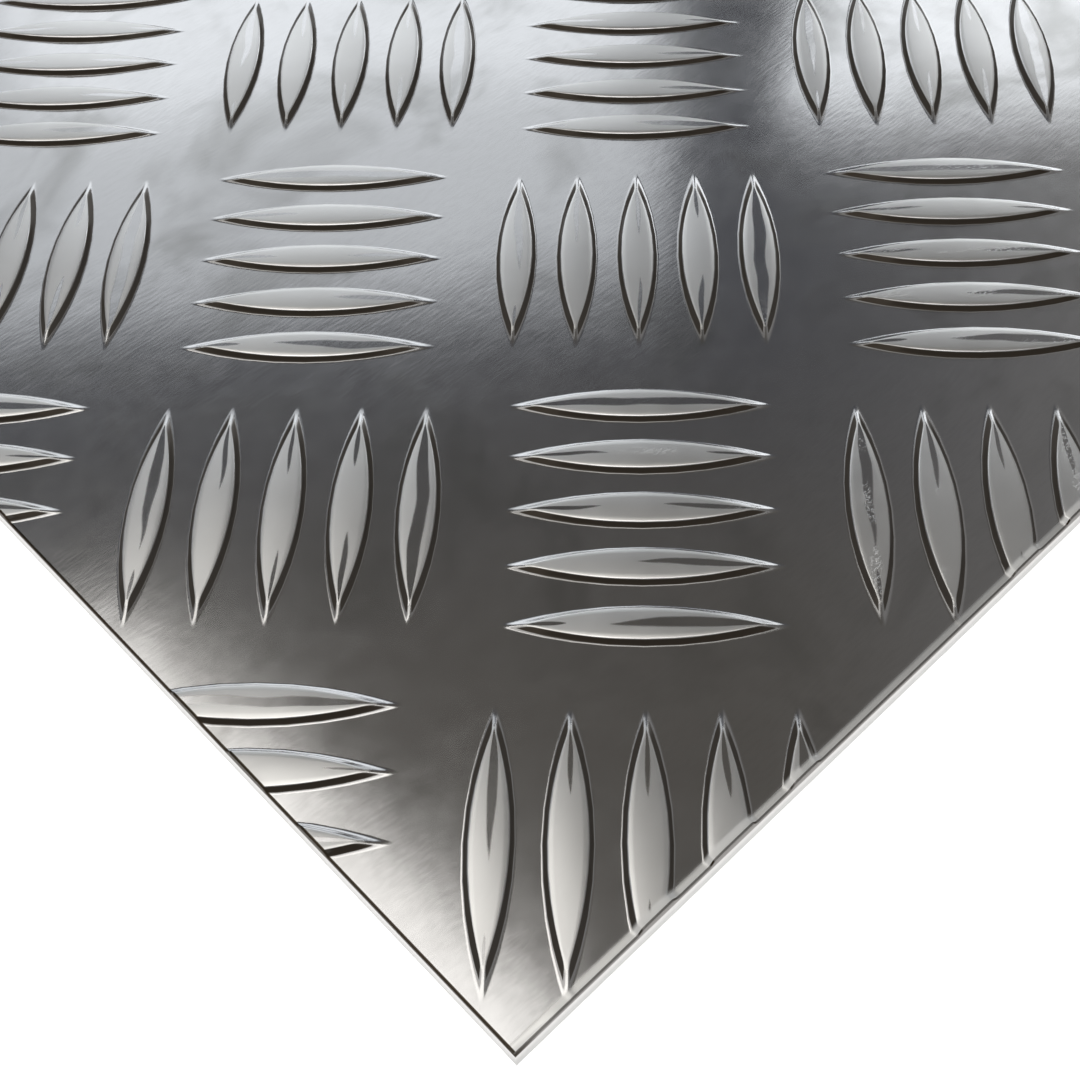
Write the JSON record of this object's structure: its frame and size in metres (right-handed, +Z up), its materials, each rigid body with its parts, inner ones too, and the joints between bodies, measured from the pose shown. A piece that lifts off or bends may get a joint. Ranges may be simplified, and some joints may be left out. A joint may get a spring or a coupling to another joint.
{
  "type": "checker plate",
  "caption": "Flat square of rolled aluminium checker plate, with groups of raised lens-shaped tread bars that alternate in direction for grip underfoot.",
  "frame": {"origin": "middle of the flat underside, which lies on the floor", "axes": "+Z up through the thickness, towards the tread; +X along the rolling direction and +Y along the other cut edge"},
  "size_m": [0.2, 0.2, 0.0041],
  "materials": {
    "rolled_aluminium": "bright mill finish with faint rolling grain and light scuffs on the tread"
  },
  "bodies": {
    "root": {"checker_plate": "rolled_aluminium"}
  },
  "joints": []
}
